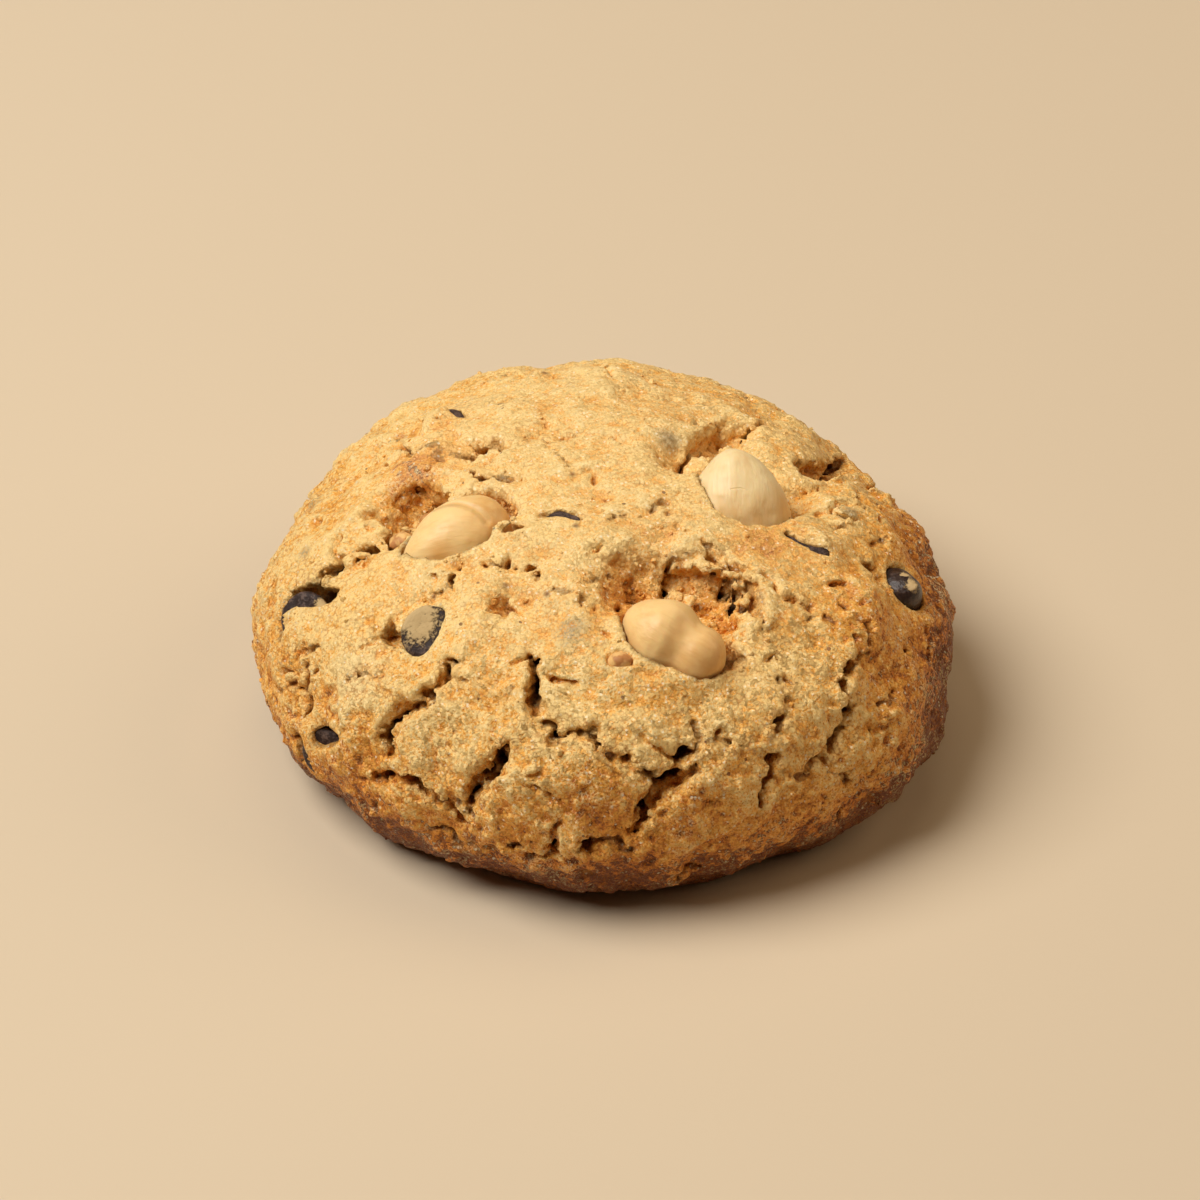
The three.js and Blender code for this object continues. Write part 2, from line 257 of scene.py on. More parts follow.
world = bpy.data.worlds.new("glow")
world.use_nodes = True
world.node_tree.nodes["Background"].inputs["Color"].default_value = GLOW
world.node_tree.nodes["Background"].inputs["Strength"].default_value = GLOW_STRENGTH
bpy.context.scene.world = world
bpy.context.scene.view_settings.view_transform = "Standard"


def mesh_object(name, mesh):
    """A new object for a mesh, linked into the scene."""
    piece = bpy.data.objects.new(name, mesh)
    bpy.context.scene.collection.objects.link(piece)
    return piece


def new_material(name):
    """A material and the recipe of its tree, with the shader's sockets at hand."""
    material = bpy.data.materials.new(name)
    material.use_nodes = True
    shader = material.node_tree.nodes["Principled BSDF"]
    return material, Recipe(material.node_tree), shader


floor_mesh = bpy.data.meshes.new("floor")
half = FLOOR_SIDE / 2
floor_corners = [(-half, -half, 0), (half, -half, 0), (half, half, 0), (-half, half, 0)]
floor_mesh.from_pydata(floor_corners, [], [(0, 1, 2, 3)])
floor = mesh_object("floor", floor_mesh)
floor_material, _, floor_shader = new_material("floor")
floor_shader.inputs["Base Color"].default_value = FLOOR_COLOUR
floor_shader.inputs["Roughness"].default_value = 0.9
floor_shader.inputs["Specular IOR Level"].default_value = 0.1
floor_mesh.materials.append(floor_material)
print("lights:", ", ".join(LIGHTS))

# %% [markdown]
# Small features, such as one crack or the smear on one chip, are named by the pixel where the photo
# shows them. A ray from the camera through that pixel finds the place on the solid.

# %% From a pixel of the photo to a place on the cookie


def joined_copy(node):
    """A CAD node's mesh as a bmesh, with its loose triangles joined at their corners."""
    shape = bmesh.new()
    shape.from_mesh(nodes[node].data)
    bmesh.ops.remove_doubles(shape, verts=shape.verts, dist=0.001 * MM)
    return shape


def merged_copy(node):
    """The joined copy as a plain mesh without materials."""
    shape = joined_copy(node)
    mesh = bpy.data.meshes.new(node + "_copy")
    shape.to_mesh(mesh)
    shape.free()
    return mesh


def sight(across, down):
    """The way from the camera through a pixel of the photo."""
    rightward = (across - PICTURE_SIDE / 2) / FOCAL_PIXELS
    upward = (PICTURE_SIDE / 2 - down) / FOCAL_PIXELS
    return (camera.rotation_euler.to_matrix() @ Vector((rightward, upward, -1.0))).normalized()


def solid_tree(node):
    """A CAD node as a tree that rays can be cast on."""
    shape = joined_copy(node)
    tree = BVHTree.FromBMesh(shape)
    shape.free()
    return tree


solid_trees = {name: solid_tree(name) for name in nodes}


def seen(node, across, down):
    """The point of a CAD node that shows at this pixel, or the nearest one if it is just beside it."""
    way = sight(across, down)
    point, _, _, _ = solid_trees[node].ray_cast(camera.location, way)
    if point is None:
        middle = sum(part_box(node), Vector()) / 2
        beside = camera.location + way * (middle - camera.location).length
        point, _, _, _ = solid_trees[node].find_nearest(beside)
    return point


print("crown at", seen("dough", 600, 450))

# %% [markdown]
# The dough comes first. Its solid has the dome, the hollows and the main cracks, but flat facets and
# knife-sharp edges. Dough is a pile of crumbs, so it is built as a volume: a box of small cells, each
# of which asks how far it is from the solid. Moving the question about by noise makes the edges
# ragged. Growing the dough a little where it meets a nut or a chip lets it hug them. The skin is then
# drawn round the cells that came out as dough, and moved by finer noise, more in the cracks.

# %% Dough: helpers for shape trees
SOFT_EDGE_CELLS = 6.0
SCRAP_POINTS = 600.0


def geometry_tree(name, sizes):
    """A shape tree with a geometry input and output, and named inputs for its sizes."""
    tree = bpy.data.node_groups.new(name, "GeometryNodeTree")
    tree.interface.new_socket("Geometry", in_out="INPUT", socket_type="NodeSocketGeometry")
    tree.interface.new_socket("Geometry", in_out="OUTPUT", socket_type="NodeSocketGeometry")
    for size in sizes:
        tree.interface.new_socket(size, in_out="INPUT", socket_type="NodeSocketFloat")
    recipe = Recipe(tree)
    return tree, recipe, recipe.node("NodeGroupInput")


def finish_tree(recipe, geometry, material):
    """Ends a shape tree: instances become mesh, and the mesh gets its material."""
    real = recipe.node("GeometryNodeRealizeInstances", {}, {0: geometry})
    dressed = recipe.node("GeometryNodeSetMaterial", {}, {"Geometry": real, "Material": material})
    recipe.node("NodeGroupOutput", {}, {0: dressed})


def grow(name, source, tree, sizes, keep=1.0):
    """Runs a shape tree on a mesh and returns the result as a plain object."""
    holder = mesh_object(name + "_holder", source)
    modifier = holder.modifiers.new("shape", "NODES")
    modifier.node_group = tree
    for item in tree.interface.items_tree:
        if item.in_out == "INPUT" and item.name in sizes:
            modifier[item.identifier] = sizes[item.name]
    if keep < 1.0:
        thin = holder.modifiers.new("thin", "DECIMATE")
        thin.ratio = keep
    evaluated = holder.evaluated_get(bpy.context.evaluated_depsgraph_get())
    mesh = bpy.data.meshes.new_from_object(evaluated)
    bpy.data.objects.remove(holder)
    mesh.name = name
    piece = mesh_object(name, mesh)
    triangles = sum(len(face.vertices) - 2 for face in mesh.polygons)
    low, high = np.array(piece.bound_box).min(0) / MM, np.array(piece.bound_box).max(0) / MM
    print(f"{name}: {triangles} triangles, {low.round(1)} to {high.round(1)} mm")
    return piece


def mesh_of(recipe, thing):
    """The mesh of another object."""
    return recipe.node("GeometryNodeObjectInfo", {}, {"Object": thing}, "Geometry")


def how_far(recipe, shape, place, element="FACES"):
    """How far a place is from a shape's faces, edges or points."""
    sockets = {0: shape, "Source Position": place}
    return recipe.node("GeometryNodeProximity", {"target_element": element}, sockets, "Distance")


def signed_gap(recipe, solid, place):
    """How far a place is from a solid's skin: less than 0 inside."""
    away = how_far(recipe, solid, place)
    up = (0.0, 0.0, 1.0)
    sockets = {0: solid, "Source Position": place, "Ray Direction": up, "Ray Length": 1.0}
    hit = recipe.node("GeometryNodeRaycast", {}, sockets)
    leaving = recipe.vector("DOT_PRODUCT", hit.beside("Hit Normal"), up)
    inside = recipe.math("GREATER_THAN", leaving, 0.0) * hit
    return away * (1.0 - 2.0 * inside)


def skin_round(recipe, gap, voxel, node, room):
    """Draws a skin where a gap field is 0, in a CAD node's box with some millimetres of room."""
    margin = Vector((room, room, room)) * MM
    low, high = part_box(node)
    low, high = low - margin, high + margin
    density = recipe.least(recipe.most(0.5 - gap / (voxel * SOFT_EDGE_CELLS), 0.0), 1.0)
    sockets = {"Density": density, "Min": low, "Max": high}
    for axis, near, far in zip("XYZ", low, high):
        sockets["Resolution " + axis] = recipe.math("CEIL", (far - near) / voxel)
    grid = recipe.node("GeometryNodeVolumeCube", {}, sockets)
    skin = recipe.node("GeometryNodeVolumeToMesh", {}, {"Volume": grid, "Threshold": 0.5})

    # Loose scraps are dropped.
    island = recipe.node("GeometryNodeInputMeshIsland")
    total = recipe.node("GeometryNodeAccumulateField", {}, {0: 1.0, "Group ID": island}, "Total")
    scrap = recipe.math("LESS_THAN", total, SCRAP_POINTS)
    return recipe.node("GeometryNodeDeleteGeometry", {}, {"Geometry": skin, "Selection": scrap})


def blurred(recipe, value, steps):
    """A vector field averaged with its neighbours, this many times."""
    settings = {"data_type": "FLOAT_VECTOR"}
    return recipe.node("GeometryNodeBlurAttribute", settings, {"Value": value, "Iterations": steps})


def stored(recipe, geometry, name, value):
    """Keeps a number at each point of a mesh under a name, for its material to read."""
    settings = {"data_type": "FLOAT", "domain": "POINT"}
    sockets = {"Geometry": geometry, "Name": name, "Value": value}
    return recipe.node("GeometryNodeStoreNamedAttribute", settings, sockets)


def kept_number(recipe, name):
    """A number that was kept earlier under this name."""
    return recipe.node("GeometryNodeInputNamedAttribute", {"data_type": "FLOAT"}, {"Name": name})


def wander(recipe, place, size, reach):
    """A noise vector of about this reach each way."""
    cloud = recipe.noise(place, size, 1.0, 0.5, output="Color")
    return recipe.scaled(recipe.vector("SUBTRACT", cloud, (0.5, 0.5, 0.5)), 2.0 * reach)


def stirred(recipe, place, start, *waves):
    """A start moved by waves of noise, each a size and a reach in millimetres."""
    for size, reach in waves:
        start = recipe.vector("ADD", start, wander(recipe, place, size * MM, reach * MM))
    return start


# %% [markdown]
# The solid's own cracks are plain wedges. Growing the solid shuts them, and shrinking it again leaves the
# rest as it was, so that finer cracks can be cut in their place. The grown solid is kept for the shape
# tree. The shrunk one is only there to catch rays from the camera.

# %% Dough: the solid without its cracks
VOXEL = 0.34 * MM
FILLED_VOXEL = 1.8 * VOXEL
FILLING = 0.9 * MM


def filled_tree():
    """The solid grown by the filling, which shuts its cracks."""
    tree, recipe, given = geometry_tree("filled", ["Voxel", "Filling"])
    place = recipe.node("GeometryNodeInputPosition")
    grown = signed_gap(recipe, given, place) - given.beside("Filling")
    skin = skin_round(recipe, grown, given.beside("Voxel"), "dough", room=3.0)
    recipe.node("NodeGroupOutput", {}, {0: skin})
    return tree


filled = grow("filled", merged_copy("dough"), filled_tree(), {"Voxel": FILLED_VOXEL, "Filling": FILLING})
shrunk = [corner.co - corner.normal * FILLING for corner in filled.data.vertices]
skin_rays = BVHTree.FromPolygons(shrunk, [tuple(face.vertices) for face in filled.data.polygons])


def on_skin(across, down):
    """The point of the dough without cracks that shows at this pixel."""
    return skin_rays.ray_cast(camera.location, sight(across, down))[0]


# %% [markdown]
# The photo shows just where the crust tore. Each tear is a path of pixels. Wide tears gape and are
# nearly black inside. Fine ones are only slits. Pockets are holes where a crumb fell out, and beds are
# places where the crust broke away beside a nut.

# %% Dough: where it tore
# The plain dome: its half width, the height of its widest part and the rise of its crown.
GIRTH = 43.0 * MM
GIRTH_HEIGHT = 12.0 * MM
CROWN_RISE = 24.0 * MM
HEART = (0.0, 0.0, GIRTH_HEIGHT)
WIDE_TEARS = {
    "left plate": [
        (455, 660), (447, 669), (442, 678), (438, 687), (427, 692), (425, 703), (414, 709), (400, 713),
    ],
    "left plate foot": [(400, 713), (395, 720), (388, 729), (386, 739), (388, 757)],
    "low ledge": [(376, 778), (395, 778), (410, 784), (425, 792), (438, 798), (455, 804), (466, 814)],
    "front slit": [(507, 742), (500, 757), (494, 768), (483, 780), (475, 792), (468, 806), (472, 820)],
    "middle gap": [(537, 661), (533, 672), (533, 684), (534, 700), (535, 709), (533, 717)],
    "middle step": [
        (545, 724), (554, 730), (553, 740), (566, 739), (580, 736), (591, 731), (595, 743), (600, 753),
    ],
    "front gap": [
        (698, 770), (684, 774), (670, 779), (660, 787), (649, 797), (642, 810), (640, 824), (638, 842),
    ],
    "right upright": [(786, 696), (783, 711), (780, 728), (779, 741), (774, 763), (768, 786), (762, 806)],
    "right zigzag": [
        (855, 660), (851, 673), (840, 680), (845, 693), (848, 706), (846, 722), (841, 737), (832, 752),
    ],
    "hollow edge": [
        (684, 553), (695, 549), (707, 549), (714, 557), (722, 566), (741, 570), (743, 582), (744, 595),
    ],
    "hollow left": [(676, 556), (669, 566), (667, 580), (669, 594), (684, 602)],
    "front nut right": [(690, 612), (698, 623), (708, 631), (718, 638)],
    "beside hollow": [(756, 584), (757, 600), (757, 617), (768, 628)],
    "behind back nut": [
        (690, 456), (697, 442), (711, 434), (721, 425), (733, 430), (747, 431), (764, 424),
    ],
    "right of back nut": [(803, 462), (811, 469), (826, 471), (840, 472), (844, 458)],
    "back left": [
        (400, 446), (412, 453), (427, 449), (441, 447), (453, 455), (466, 452), (484, 445), (498, 441),
    ],
    "over left nut": [(468, 473), (481, 480), (493, 478), (505, 481), (514, 482)],
    "left nut back": [(380, 520), (390, 506), (400, 491), (418, 491), (432, 504)],
    "long left": [(378, 540), (366, 548), (345, 555), (329, 564), (319, 576), (306, 588), (294, 597)],
    "right of left nut": [(506, 530), (516, 519)],
    "by left chip": [(392, 622), (394, 640)],
    "by right chip": [(872, 565), (880, 580), (890, 592)],
    "left rim": [(306, 660), (309, 672), (305, 690), (309, 706), (303, 718)],
    "foot right": [(675, 878), (684, 869), (694, 866)],
}
FINE_TEARS = {
    "left plate ledge": [
        (443, 681), (460, 681), (478, 683), (490, 684), (502, 692), (518, 692), (532, 690),
    ],
    "left ledge": [(268, 690), (285, 686), (300, 690)],
    "left brow": [(300, 650), (319, 646)],
    "front branch": [(699, 722), (698, 738), (695, 751), (686, 760)],
    "front left branch": [(599, 752), (612, 758), (629, 761), (645, 773), (655, 780)],
    "front plate foot": [(560, 850), (577, 850), (590, 845), (605, 840), (620, 848), (637, 851)],
    "foot plate": [(510, 850), (530, 846), (560, 850)],
    "right zigzag top": [(851, 613), (868, 628), (870, 648), (857, 660)],
    "right arc": [(841, 597), (847, 607), (858, 612)],
    "right hairline": [(785, 596), (800, 601), (811, 609), (814, 617), (807, 622)],
    "right dash": [(824, 618), (831, 621)],
    "right patch": [(825, 586), (842, 584)],
    "far right line": [(878, 705), (887, 703), (898, 695)],
    "far right dash": [(908, 650), (917, 662)],
    "right foot line": [(826, 772), (840, 773), (852, 781)],
    "right low line": [(800, 780), (813, 772), (814, 760)],
    "plate line": [(703, 744), (722, 742), (740, 748)],
    "upper step": [(765, 679), (780, 683), (793, 684)],
    "by front nut": [(729, 660), (735, 668), (747, 662)],
    "fold": [(637, 519), (650, 509), (663, 501), (671, 512), (675, 527)],
    "crown line": [(612, 518), (625, 516), (637, 519)],
    "right step": [(869, 549), (876, 543), (883, 537)],
    "right rim": [(860, 491), (863, 505)],
    "crown": [(527, 435), (541, 434), (552, 445), (558, 455), (562, 463)],
    "middle": [(555, 591), (577, 597), (590, 609)],
    "hollow brow": [(583, 580), (605, 574), (622, 577)],
    "lip": [(453, 563), (450, 577), (443, 590), (432, 598)],
    "nut ledge": [(480, 563), (497, 565), (512, 566)],
    "foot left": [(430, 830), (452, 832), (456, 845), (486, 850)],
    "plate top": [(350, 676), (362, 674), (380, 676)],
}
BEDS = {
    "behind left nut": [(384, 514), (396, 499), (408, 490), (424, 492), (436, 501)],
    "back left": [(452, 453), (470, 449)],
    "right of front nut": [(682, 572), (705, 580), (725, 588), (728, 606), (708, 612), (722, 624)],
    "behind back nut": [(700, 448), (722, 435), (745, 430)],
    "right of back nut": [(806, 470), (824, 470), (842, 468)],
}
LARGE_POCKETS = {
    "on the dome": [(430, 692), (386, 738), (534, 700), (485, 782), (643, 812), (662, 786), (849, 711)],
    "in the hollows": [
        (408, 490), (400, 500), (512, 525), (306, 588), (298, 594), (674, 590), (812, 470), (878, 574),
        (393, 636),
    ],
}
SMALL_POCKETS = {
    "on the dome": [
        (453, 661), (426, 706), (395, 720), (495, 768), (553, 740), (599, 751), (648, 773), (628, 760),
        (687, 759), (767, 786), (842, 682), (686, 868), (378, 779), (416, 787), (436, 802), (308, 666),
        (308, 704), (323, 737), (586, 846), (762, 804), (852, 670),
    ],
    "in the hollows": [
        (412, 453), (436, 455), (494, 443), (434, 506), (368, 548), (321, 571), (528, 570), (534, 577),
        (693, 448), (740, 432), (842, 472), (842, 528), (866, 509), (699, 550), (743, 590), (704, 629),
        (757, 603), (508, 481), (622, 608), (450, 584),
    ],
}


def on_dome(point):
    """The place on the plain dome straight above or below a point, from the heart of the cookie."""
    from_heart = point - Vector(HEART)
    evened = Vector((from_heart.x / GIRTH, from_heart.y / GIRTH, from_heart.z / CROWN_RISE))
    return from_heart / evened.length


def path_object(name, paths, joined=True):
    """Paths on the dome as a mesh of edges, or only their corners."""
    corners, edges = [], []
    for pixels in paths.values():
        if joined:
            edges += [(len(corners) + i, len(corners) + i + 1) for i in range(len(pixels) - 1)]
        corners += [on_dome(on_skin(*pixel)) for pixel in pixels]
    mesh = bpy.data.meshes.new(name)
    mesh.from_pydata(corners, edges, [])
    return mesh_object(name, mesh)


print(len(WIDE_TEARS), "wide tears and", len(FINE_TEARS), "fine ones")

# %% [markdown]
# This tree is the dough's rule. At each small cell it works out the gap: how far outside the dough the
# cell is, or how deep inside. Every step adds to the gap or takes from it. Hollows, beds and tears open
# it. Lips, lumps, and dough smeared over the chips, close it. Dough could also be sculpted by hand. A
# rule suits it better, because a few noises give every edge the same ragged look.

# %% Dough: the shape tree
NUTS = ["hazelnut_left", "hazelnut_back", "hazelnut_front"]
HUGGED = ["chip_left", "chip_left_front", "chip_low_left"]
CHIPS = sorted(name for name in nodes if name.startswith("chip"))
# Dough shrank away on this side of each nut. Its crust grows calmer between these two heights.
GAP_SIDE = (0.42, 0.85, 0.32)
CALM_CROWN = (18.0 * MM, 32.0 * MM)
CHUNK_SIZE = 2.3 * MM
WEB_SIZE = 9.0 * MM
LUMP_SIZE = 5.0 * MM
LUMP_HEIGHT = 2.2 * MM
PIT_SPACING = 3.0 * MM
# Each dent has a pixel, a depth and a width.
DENTS = {(652, 596): (2.8, 8.0), (715, 600): (1.2, 5.0), (790, 500): (1.6, 5.0), (682, 462): (1.8, 4.5),
         (404, 500): (2.8, 5.5)}
BARE_CHIPS = ["chip_left_front", "chip_right"]
SMEARED = [name for name in CHIPS if name not in BARE_CHIPS]
BROAD_WINDOWS = {
    "left chip": [(279, 632), (283, 612), (294, 602), (310, 598), (326, 597)],
    "low left chip": [(297, 742), (302, 756), (314, 768)],
    "low left hole": [(318, 738), (330, 736)],
}
THIN_WINDOWS = {
    "back rim chip": [(421, 432), (424, 423), (430, 417), (440, 412), (450, 411), (462, 415)],
    "back left chip": [(414, 453), (428, 449), (438, 445), (446, 452)],
    "crown chip": [(541, 515), (560, 515), (580, 518)],
    "fold chip": [(789, 533), (802, 541), (814, 548), (828, 554)],
}


def dough_tree(material, paths, sizes):
    """Ragged edges, fine cracks, pits and crumb, from the plain solid."""
    tree, recipe, given = geometry_tree("dough", sizes)
    size = given.beside
    vector, step, most, least, noise = recipe.vector, recipe.step, recipe.most, recipe.least, recipe.noise
    place = recipe.node("GeometryNodeInputPosition")
    height = recipe.apart(place)[2]
    above = step(height, 0.3 * MM, 2.5 * MM)

    # The way out of the dome, and the place straight above or below on its skin.
    from_heart = vector("SUBTRACT", place, HEART)
    evened = vector("DIVIDE", from_heart, (GIRTH, GIRTH, CROWN_RISE))
    outward = vector("NORMALIZE", vector("DIVIDE", evened, (GIRTH, GIRTH, CROWN_RISE)))
    reach = vector("LENGTH", evened)
    dome_place = recipe.scaled(from_heart, 1.0 / most(reach, 0.2))

    # How far it is to the nearest nut or chip, and how deep it is under a sheet stretched over it all.
    def nearest_of(names):
        joined = recipe.node("GeometryNodeJoinGeometry")
        for name in names:
            piece = mesh_of(recipe, nodes[name])
            recipe.tree.links.new(piece.socket, joined.socket.node.inputs[0])
        return how_far(recipe, joined, place)

    to_nut, to_hugged, to_chip = nearest_of(NUTS), nearest_of(HUGGED), nearest_of(CHIPS)
    to_smeared = nearest_of(SMEARED)
    sheet = recipe.node("GeometryNodeConvexHull", {}, {0: mesh_of(recipe, nodes["dough"])})
    position = recipe.node("GeometryNodeInputPosition")
    sunk = how_far(recipe, sheet, position)

    # The question is asked at a place that noise has moved along the skin, so edges come out ragged.
    shift = wander(recipe, place, 4.0 * MM, 0.9 * MM)
    shift = stirred(recipe, place, shift, (1.7, 0.65), (0.8, 0.35))
    rise = vector("DOT_PRODUCT", shift, outward)
    along = vector("SUBTRACT", shift, recipe.scaled(outward, rise * 0.9))
    clear = step(to_chip, 0.3 * MM, 2.0 * MM)
    asked = vector("ADD", place, recipe.scaled(along, size("Ragged") * above * clear))
    gap = signed_gap(recipe, given, asked) + size("Filling")

    # Dough closes up round some chips and in front of the nuts. It shrinks away behind the nuts.
    gap = gap - size("Closing") * step(to_hugged, 1.2 * MM, 0.3 * MM)
    nearest = vector("SUBTRACT", place, to_nut.beside("Position"))
    behind = vector("DOT_PRODUCT", vector("NORMALIZE", nearest), GAP_SIDE)
    behind = step(behind, 0.0, 0.6)
    by_nut = step(to_nut, 1.8 * MM, 0.4 * MM)
    gap = gap + by_nut * (size("Nut gap") * behind - size("Closing") * (1.0 - behind))

    # The hollows that the nuts sit in.
    for pixel, (depth, width) in DENTS.items():
        gap = gap + depth * MM * recipe.near(place, on_skin(*pixel), width * MM)

    # Beside the nuts the crust broke away and left a sunken bed with a ragged edge.
    broad_bend = wander(recipe, place, 2.6 * MM, 1.0 * MM)
    bend = stirred(recipe, place, broad_bend, (1.0, 0.7))
    bent = vector("ADD", dome_place, bend)

    def away_from(name, element="EDGES", asked_at=bent):
        return how_far(recipe, mesh_of(recipe, paths[name]), asked_at, element)

    swing = noise(dome_place, 3.0 * MM, 1.0)
    beside_bed = size("Bed reach") * (0.4 + 1.2 * swing) - away_from("beds")
    off_chips = step(to_chip, 0.8 * MM, 2.5 * MM)
    gap = most(gap, least(beside_bed, gap + size("Bed depth") * off_chips))

    # Torn dough breaks into chunks.
    in_bed = step(beside_bed, -0.2 * MM, 0.4 * MM)
    torn_here = most(step(sunk, 0.9 * MM, 2.4 * MM), in_bed) * above
    chunk = recipe.cells(asked, CHUNK_SIZE)
    chunk_luck = recipe.apart(chunk.beside("Color"))[0]
    gap = gap + torn_here * size("Chunk") * (chunk_luck - 0.6 + 0.7 * chunk)

    # The tears of the photo, cut straight in. Their lips curl up a little. They are pinched in places
    # and close with depth. Pockets are holes where a crumb fell out.
    untorn = gap
    to_wide = away_from("wide")
    curl = step(to_wide, 2.4 * MM, 0.5 * MM) * step(swing, 0.42, 0.60) * above * clear
    slump = step(to_wide, 2.0 * MM, 0.3 * MM) * step(swing, 0.52, 0.40) * above * clear
    gap = gap - size("Lip") * (curl - slump)
    swell = 0.6 + 0.7 * step(noise(dome_place, 2.2 * MM, 1.0), 0.36, 0.66)
    openings = [(size("Wide tear") * swell - to_wide, "Wide depth")]
    openings += [(size("Fine tear") * swell - away_from("fine"), "Fine depth")]
    openings += [(size("Large pocket") * swell - away_from("large pockets", "POINTS"), "Wide depth")]
    openings += [(size("Small pocket") * swell - away_from("small pockets", "POINTS"), "Wide depth")]
    nudged = stirred(recipe, place, dome_place, (1.0, 0.3))
    broad = size("Broad window") - away_from("broad windows", asked_at=nudged)
    thin = size("Thin window") - away_from("thin windows", asked_at=nudged)
    openings += [(broad, "Window depth"), (thin, "Window depth")]
    for opening, depth in openings:
        cut = opening + swell * gap * (0.6 * MM / size(depth))
        gap = most(gap, least(cut, 1.0 * MM) * above)
    slit = reduce(most, [opening for opening, _ in openings])

    # Dough is smeared over the chips, but for a window in which each one shows.
    smear = to_smeared - size("Smear")
    gap = least(gap, most(smear, most(broad, thin)))

    # A thin web of short cracks, bent and broken by noise, runs all over, also round the unseen back.
    broad_bend = wander(recipe, place, 7.0 * MM, 3.0 * MM)
    bend = stirred(recipe, place, broad_bend, (2.2, 1.1))
    web = recipe.cells(vector("ADD", dome_place, bend), WEB_SIZE, "DISTANCE_TO_EDGE")
    broken = step(noise(dome_place, 5.0 * MM, 1.0), 0.57, 0.68)
    groove = step(web, 0.05, 0.0) * broken * above * clear
    gap = gap + size("Crack depth") * groove

    # Soft lumps, crumbs that baked together, and small pits.
    lumps = noise(place, LUMP_SIZE, 3.0, 0.6) - 0.5
    hole = recipe.cells(asked, PIT_SPACING)
    chosen = recipe.math("GREATER_THAN", recipe.apart(hole.beside("Color"))[0], 0.93)
    gap = gap - LUMP_HEIGHT * lumps * above * clear
    jostled = stirred(recipe, place, place, (1.0, 0.4))
    sockets = {"Vector": jostled, "Scale": 1.0 / size("Nodule size")}
    nodule = recipe.node("ShaderNodeTexVoronoi", {}, sockets)
    crumbly = 0.35 + 0.65 * step(noise(place, 6.0 * MM, 1.0), 0.38, 0.60)
    crumbly = crumbly * (1.0 - 0.6 * step(height, *CALM_CROWN))
    gap = gap - size("Nodule") * (0.5 - nodule) * crumbly * above * clear
    gap = gap + size("Pit depth") * chosen * step(hole, 0.22, 0.06) * above

    # The dough ends flat on the floor.
    gap = most(gap, -height)
    skin = skin_round(recipe, gap, size("Voxel"), "dough", room=2.0)

    # Torn dough, in cracks and hollows, is rougher than skin. How torn each point is, and how far it
    # stands out from its smoothed neighbours, is kept for the finish.
    normal = recipe.node("GeometryNodeInputNormal")

    def stands_out(steps):
        lifted = vector("SUBTRACT", position, blurred(recipe, position, steps))
        return vector("DOT_PRODUCT", lifted, normal) / MM

    skin = stored(recipe, skin, "sunk", sunk / MM)
    skin = stored(recipe, skin, "depth", stands_out(60))
    torn = step(kept_number(recipe, "sunk"), 0.8, 2.2)
    low_spot = step(kept_number(recipe, "depth"), -0.1, -0.5)
    rim = step(slit, -0.9 * MM, 0.0)
    rough = most(most(torn * 0.6, in_bed), most(low_spot, rim * 0.6))
    skin = stored(recipe, skin, "slit", slit / MM)
    skin = stored(recipe, skin, "deep", untorn / -MM)
    skin = stored(recipe, skin, "nut", to_nut / MM)
    skin = stored(recipe, skin, "torn", rough)
    skin_height = recipe.apart(position)[2]
    off_floor = step(skin_height, 0.2 * MM, 1.5 * MM)
    off_chips = step(to_chip, 0.2 * MM, 1.2 * MM)
    calm = 1.0 - 0.6 * step(skin_height, *CALM_CROWN)
    lump = calm * (noise(position, 1.7 * MM, 3.0, 0.55) - 0.5)
    grain = noise(position, 0.85 * MM, 3.0, 0.65) - 0.5
    rough = kept_number(recipe, "torn")
    moved = lump * size("Skin crumb") * (1.0 - rough) + grain * size("Torn crumb") * rough
    moved = recipe.scaled(normal, moved * off_floor * off_chips)
    skin = recipe.node("GeometryNodeSetPosition", {}, {"Geometry": skin, "Offset": moved})
    skin = stored(recipe, skin, "fine", stands_out(8))
    skin = recipe.node("GeometryNodeSetShadeSmooth", {}, {0: skin})
    finish_tree(recipe, skin, material)
    return tree


# %% [markdown]
# Baked dough is pale gold on the crown and browner towards the foot, where the hot tray was. The foot,
# the right rim and the front right are also painted darker, as painted shade. Raised grains are painted
# paler than the dips between them, as painted light and shade. Torn crumb stays golden. Small crystals of
# sugar and specks of nut skin break up the colour, and some crystals are painted near white as painted
# glints. Cracks, low spots and the dough close to a nut are painted darker, as painted shade, because
# little light gets there. It all comes from noise and cells, with a few spots set by pixel.

# %% Dough: the finish
PALE_CRUST = colour(255, 217, 140)
GOLDEN_CRUST = colour(251, 181, 74)
BROWN_CRUST = colour(212, 123, 28)
DEEP_CRUST = colour(112, 52, 4)
BETWEEN_GRAINS_SHADE = colour(188, 110, 22)
CRUMB_COLOUR = colour(242, 171, 68)
GRAIN_COLOUR = colour(255, 232, 174)
CREVICE_SHADE_COLOUR = colour(62, 27, 5)
SPECK_COLOUR = colour(104, 50, 24)
SUGAR_AND_GLINT_COLOUR = colour(255, 243, 210)
SMEAR_COLOUR = colour(120, 106, 92)
SAND_SIZE = 0.28 * MM
CRYSTAL_SIZE = 0.42 * MM
CLUMP_SIZE = 0.95 * MM
SPECK_SPACING = 2.4 * MM
FOOT_TOAST_AND_SHADE = (15.0 * MM, -2.0 * MM)
CREAMY_CROWN = (27.0 * MM, 34.0 * MM)
SHADED_RIGHT_RIM = (29.0 * MM, 43.0 * MM)
SHADED_FRONT_RIGHT = (0.45, -0.89, 0.0)
